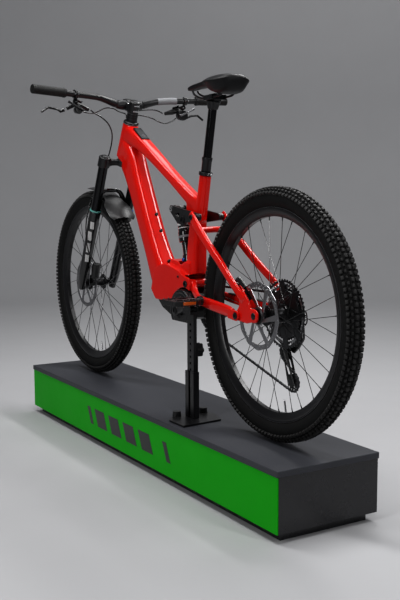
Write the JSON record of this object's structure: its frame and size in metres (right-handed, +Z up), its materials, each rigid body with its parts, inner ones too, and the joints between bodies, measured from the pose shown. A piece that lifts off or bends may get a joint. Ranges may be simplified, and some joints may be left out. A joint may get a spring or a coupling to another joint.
{
  "type": "electric mountain bicycle on display plinth",
  "caption": "Full-suspension electric mountain bicycle on a long low display plinth, steadied by a height-adjustable stand under its left crank arm.",
  "frame": {"origin": "middle of the object's bounding box on the floor, under the plinth", "axes": "+X towards the front wheel, +Y to the bicycle's left, +Z up"},
  "size_m": [1.9954, 0.7964, 1.3021],
  "materials": {
    "frame_red": "gloss",
    "black_metal": "satin",
    "black_plastic": "satin",
    "rubber": "matte",
    "tyre": "matte",
    "alloy": "satin anodised",
    "steel": "brushed",
    "side_panel": "satin",
    "deck_board": "laminate",
    "carcass": "gloss laminate",
    "hose": "satin",
    "saddle_cover": "matte",
    "glass_black": "gloss"
  },
  "bodies": {
    "root": {"plinth_carcass": "carcass", "plinth_top_board": "deck_board", "plinth_side_panel": "side_panel", "stand_base_plate": "black_metal", "stand_outer_post": "black_metal", "main_frame": "frame_red", "motor_unit": "black_plastic", "upper_headset_cover": "black_plastic", "seat_collar": "alloy", "top_tube_display": "glass_black", "dropper_outer_tube": "black_metal", "chain": "steel"},
    "stand_bar": {"stand_inner_bar": "black_metal"},
    "clamp_knob": {"stand_knob": "black_plastic"},
    "steering": {"fork_upper": "black_metal", "stem": "black_metal", "handlebar": "black_metal", "grip_left": "rubber", "grip_right": "rubber", "brake_master_left": "black_metal", "brake_master_right": "black_metal", "rear_brake_hose_front": "hose", "shift_cable_front": "hose", "dropper_cable": "hose", "front_brake_hose": "hose"},
    "fork_slider": {"fork_lowers": "black_metal", "front_thru_axle": "alloy", "front_caliper": "black_metal", "front_mudguard": "black_plastic"},
    "front_wheel_set": {"front_wheel": "black_metal", "front_tyre": "tyre", "front_rotor": "steel"},
    "chainstay": {"chainstays": "frame_red", "shift_cable_rear": "hose"},
    "seatstay": {"seatstays": "frame_red", "rear_caliper": "black_metal", "rear_thru_axle": "alloy", "derailleur_body": "black_metal"},
    "rocker": {"rocker_link": "black_metal"},
    "shock_can": {"shock_air_can": "black_metal"},
    "shock_damper": {"shock_damper_body": "alloy"},
    "rear_wheel_set": {"rear_wheel": "black_metal", "rear_tyre": "tyre", "rear_rotor": "steel"},
    "cassette_set": {"cassette": "steel"},
    "crankset": {"crank_left": "black_metal", "crank_right": "black_metal", "chainring": "alloy"},
    "pedal_l": {"pedal_left": "black_plastic"},
    "pedal_r": {"pedal_right": "black_plastic"},
    "cage": {"derailleur_cage": "black_metal"},
    "pulley_guide": {"guide_pulley": "black_plastic"},
    "pulley_tension": {"tension_pulley": "black_plastic"},
    "lever_l": {"brake_lever_left": "black_metal"},
    "lever_r": {"brake_lever_right": "black_metal"},
    "paddle_l": {"dropper_lever": "black_plastic"},
    "paddle_r": {"shifter_paddle": "black_plastic"},
    "dropper": {"dropper_inner_tube": "black_metal", "saddle_rails_and_clamp": "steel", "saddle": "saddle_cover"}
  },
  "joints": [
    {"name": "stand_height", "type": "slide", "parent": "root", "child": "stand_bar", "axis": [0, 0, 1], "range_m": [-0.088, 0]},
    {"name": "clamp_knob_turn", "type": "hinge", "parent": "root", "child": "clamp_knob", "pos_m": [-0.28175, 0.0675, 0.426], "axis": [0, 1, 0], "continuous": true},
    {"name": "steer", "type": "hinge", "parent": "root", "child": "steering", "pos_m": [0.58587, 0, 0.5544], "axis": [-0.4226, 0, 0.9063], "range_deg": [-50, 50], "deforming": ["rear_brake_hose_front", "shift_cable_front", "dropper_cable"]},
    {"name": "fork_travel", "type": "slide", "parent": "steering", "child": "fork_slider", "axis": [-0.4226, 0, 0.9063], "range_m": [0, 0.135], "stiffness_N_per_m": 3000, "deforming": ["front_brake_hose"]},
    {"name": "front_wheel_spin", "type": "hinge", "parent": "fork_slider", "child": "front_wheel_set", "pos_m": [0.62575, 0, 0.573], "axis": [0, 1, 0], "continuous": true},
    {"name": "rear_swing", "type": "hinge", "parent": "root", "child": "chainstay", "pos_m": [-0.19575, 0, 0.631], "axis": [0, 1, 0], "range_deg": [0, 18.34], "stiffness_Nm_per_rad": 150, "deforming": ["chain"]},
    {"name": "seatstay_pivot", "type": "hinge", "parent": "chainstay", "child": "seatstay", "pos_m": [-0.54275, 0, 0.566], "axis": [0, 1, 0], "range_deg": [-11, 0], "deforming": ["shift_cable_rear"]},
    {"name": "rocker_pivot", "type": "hinge", "parent": "root", "child": "rocker", "pos_m": [-0.16075, 0, 0.84], "axis": [0, 1, 0], "range_deg": [0, 48]},
    {"name": "shock_top_pivot", "type": "hinge", "parent": "rocker", "child": "shock_can", "pos_m": [-0.08575, 0, 0.876], "axis": [0, 1, 0], "range_deg": [-40, 0]},
    {"name": "shock_foot_pivot", "type": "hinge", "parent": "root", "child": "shock_damper", "pos_m": [-0.13575, 0, 0.677], "axis": [0, 1, 0], "range_deg": [0, 9]},
    {"name": "rear_wheel_spin", "type": "hinge", "parent": "seatstay", "child": "rear_wheel_set", "pos_m": [-0.62575, 0, 0.573], "axis": [0, 1, 0], "continuous": true},
    {"name": "crank_spin", "type": "hinge", "parent": "root", "child": "crankset", "pos_m": [-0.18175, 0, 0.545], "axis": [0, 1, 0], "range_deg": [0, 260]},
    {"name": "cassette_spin", "type": "hinge", "parent": "seatstay", "child": "cassette_set", "pos_m": [-0.62575, 0, 0.573], "axis": [0, 1, 0], "range_deg": [0, 360]},
    {"name": "pedal_left_spin", "type": "hinge", "parent": "crankset", "child": "pedal_l", "pos_m": [-0.34709, 0.15, 0.59241], "axis": [0, 1, 0], "continuous": true},
    {"name": "pedal_right_spin", "type": "hinge", "parent": "crankset", "child": "pedal_r", "pos_m": [-0.01641, -0.15, 0.49759], "axis": [0, 1, 0], "continuous": true},
    {"name": "cage_swing", "type": "hinge", "parent": "seatstay", "child": "cage", "pos_m": [-0.61375, -0.05, 0.458], "axis": [0, 1, 0], "range_deg": [-20, 35], "stiffness_Nm_per_rad": 2},
    {"name": "guide_pulley_spin", "type": "hinge", "parent": "cage", "child": "pulley_guide", "pos_m": [-0.61375, -0.0495, 0.458], "axis": [0, 1, 0], "range_deg": [-730, 0]},
    {"name": "tension_pulley_spin", "type": "hinge", "parent": "cage", "child": "pulley_tension", "pos_m": [-0.64775, -0.0495, 0.372], "axis": [0, 1, 0], "range_deg": [0, 730]},
    {"name": "brake_lever_left_pull", "type": "hinge", "parent": "steering", "child": "lever_l", "pos_m": [0.32605, 0.252, 1.23], "axis": [0, 0, 1], "range_deg": [0, 18], "stiffness_Nm_per_rad": 3},
    {"name": "brake_lever_right_pull", "type": "hinge", "parent": "steering", "child": "lever_r", "pos_m": [0.32605, -0.252, 1.23], "axis": [0, 0, -1], "range_deg": [0, 18], "stiffness_Nm_per_rad": 3},
    {"name": "dropper_lever_push", "type": "hinge", "parent": "steering", "child": "paddle_l", "pos_m": [0.26675, 0.203, 1.226], "axis": [-1, 0, 0], "range_deg": [0, 20], "stiffness_Nm_per_rad": 1},
    {"name": "shifter_paddle_push", "type": "hinge", "parent": "steering", "child": "paddle_r", "pos_m": [0.26675, -0.203, 1.226], "axis": [1, 0, 0], "range_deg": [0, 20], "stiffness_Nm_per_rad": 1},
    {"name": "dropper_travel", "type": "slide", "parent": "root", "child": "dropper", "axis": [-0.2097, 0, 0.9778], "range_m": [-0.145, 0]}
  ],
  "couplings": [
    {"joint": "seatstay_pivot", "follows": "rear_swing", "ratio": -0.54},
    {"joint": "rocker_pivot", "follows": "rear_swing", "ratio": 2.5},
    {"joint": "shock_top_pivot", "follows": "rear_swing", "ratio": -2.06},
    {"joint": "shock_foot_pivot", "follows": "rear_swing", "ratio": 0.42},
    {"joint": "cassette_spin", "follows": "crank_spin", "ratio": 1.3546},
    {"joint": "guide_pulley_spin", "follows": "crank_spin", "ratio": -2.7384},
    {"joint": "tension_pulley_spin", "follows": "crank_spin", "ratio": 2.7384}
  ]
}
